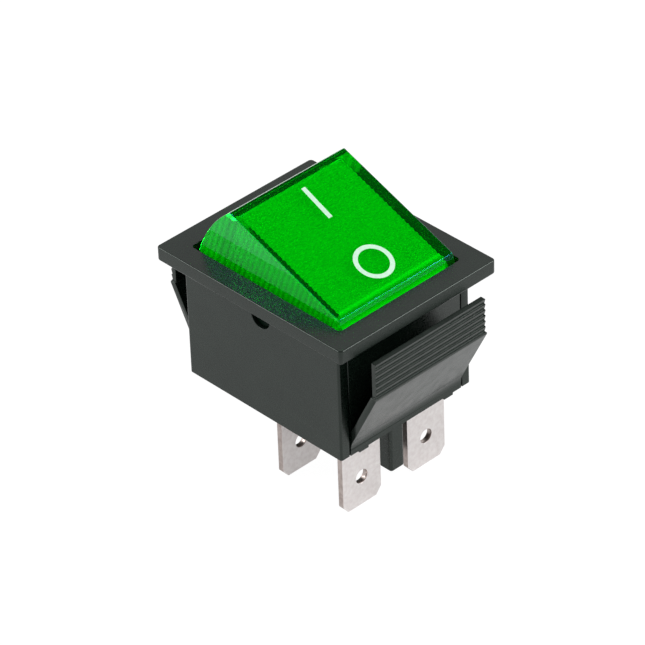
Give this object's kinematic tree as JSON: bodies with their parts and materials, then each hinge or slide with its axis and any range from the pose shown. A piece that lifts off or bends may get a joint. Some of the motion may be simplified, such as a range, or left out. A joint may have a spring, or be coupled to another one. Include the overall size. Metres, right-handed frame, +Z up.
{
  "type": "panel mount rocker switch",
  "caption": "Snap-in panel rocker switch with a see-through green lit rocker marked on and off, a flanged housing with ridged spring wings, and blade terminals below.",
  "frame": {"origin": "centre of the bezel's underside, the plane that seats on the panel", "axes": "+Z up out of the panel, +X towards the end of the rocker that is down when off, +Y along the rocker's pivot"},
  "size_m": [0.0348, 0.0254, 0.0362],
  "materials": {
    "housing_nylon": "fine spark-eroded satin black",
    "rocker_green": "polished see-through green",
    "terminal_tin": "dull tin plate over brass",
    "bridge_copper": "bare rolled copper alloy",
    "contact_silver": "bare silver alloy",
    "plunger_brass": "turned bright brass",
    "spring_steel": "drawn bright wire",
    "lamp_glass": "clear glass",
    "resistor_body": "lacquered tan",
    "lead_wire": "tinned wire",
    "lead_sleeve": "white sleeving"
  },
  "bodies": {
    "housing": {"housing": "housing_nylon", "common_terminal_left": "terminal_tin", "common_terminal_right": "terminal_tin", "load_terminal_left": "terminal_tin", "load_terminal_right": "terminal_tin", "fixed_contact_left": "contact_silver", "fixed_contact_right": "contact_silver"},
    "rocker": {"rocker_cap": "rocker_green", "neon_lamp": "lamp_glass", "lamp_resistor": "resistor_body", "lamp_lead_left": "lead_wire", "lamp_lead_right": "lead_wire", "lamp_link_wire": "lead_wire", "lead_sleeve": "lead_sleeve", "plunger_spring_left": "spring_steel", "plunger_spring_right": "spring_steel"},
    "plunger_left": {"plunger_left": "plunger_brass"},
    "plunger_right": {"plunger_right": "plunger_brass"},
    "bridge_left": {"contact_bridge_left": "bridge_copper", "moving_contact_left": "contact_silver"},
    "bridge_right": {"contact_bridge_right": "bridge_copper", "moving_contact_right": "contact_silver"}
  },
  "joints": [
    {"name": "rocker_pivot", "type": "hinge", "parent": "housing", "child": "rocker", "pos_m": [0, 0, -0.0018], "axis": [0, -1, 0], "range_deg": [0, 41]},
    {"name": "bridge_left_pivot", "type": "hinge", "parent": "housing", "child": "bridge_left", "pos_m": [0, -0.00543, -0.0084], "axis": [0, 1, 0], "range_deg": [0, 16]},
    {"name": "plunger_left_slide", "type": "slide", "parent": "rocker", "child": "plunger_left", "axis": [0.3502, 0, 0.9367], "range_m": [0, 0.0008], "stiffness_N_per_m": 100, "springref_m": -0.002, "deforming": ["plunger_spring_left"]},
    {"name": "bridge_right_pivot", "type": "hinge", "parent": "housing", "child": "bridge_right", "pos_m": [0, 0.00543, -0.0084], "axis": [0, 1, 0], "range_deg": [0, 16]},
    {"name": "plunger_right_slide", "type": "slide", "parent": "rocker", "child": "plunger_right", "axis": [0.3502, 0, 0.9367], "range_m": [0, 0.0008], "stiffness_N_per_m": 100, "springref_m": -0.002, "deforming": ["plunger_spring_right"]}
  ],
  "couplings": [
    {"joint": "bridge_left_pivot", "follows": "rocker_pivot", "ratio": 0.39},
    {"joint": "bridge_right_pivot", "follows": "rocker_pivot", "ratio": 0.39}
  ]
}
